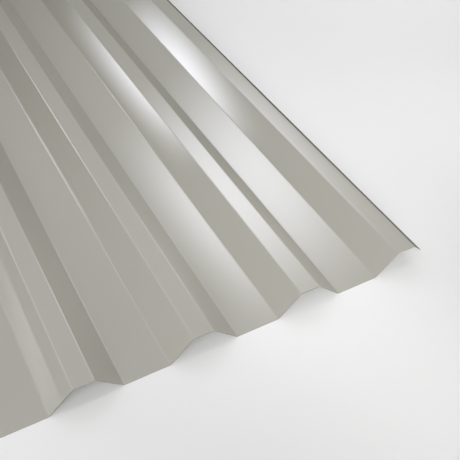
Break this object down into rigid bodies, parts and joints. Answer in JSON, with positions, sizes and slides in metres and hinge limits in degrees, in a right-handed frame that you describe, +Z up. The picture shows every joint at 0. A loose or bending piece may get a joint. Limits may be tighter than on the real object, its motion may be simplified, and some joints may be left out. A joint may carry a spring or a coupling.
{
  "type": "trapezoidal profiled steel roofing sheet",
  "caption": "Flat-lying trapezoidal profiled metal roofing sheet with broad pans, narrow raised ribs, a short overlap lip on one side and an underlap leg with a foot on the other.",
  "frame": {"origin": "on the floor plane under the middle of the sheet, level with the undersides of the pans", "axes": "+Y along the ribs, +X across them towards the overlap lip, +Z up from the pans to the crowns"},
  "size_m": [1.0894, 2, 0.0347],
  "materials": {
    "coated_steel": "semi-gloss warm grey polyester coating on galvanised steel"
  },
  "bodies": {
    "root": {"profiled_sheet": "coated_steel"}
  },
  "joints": []
}
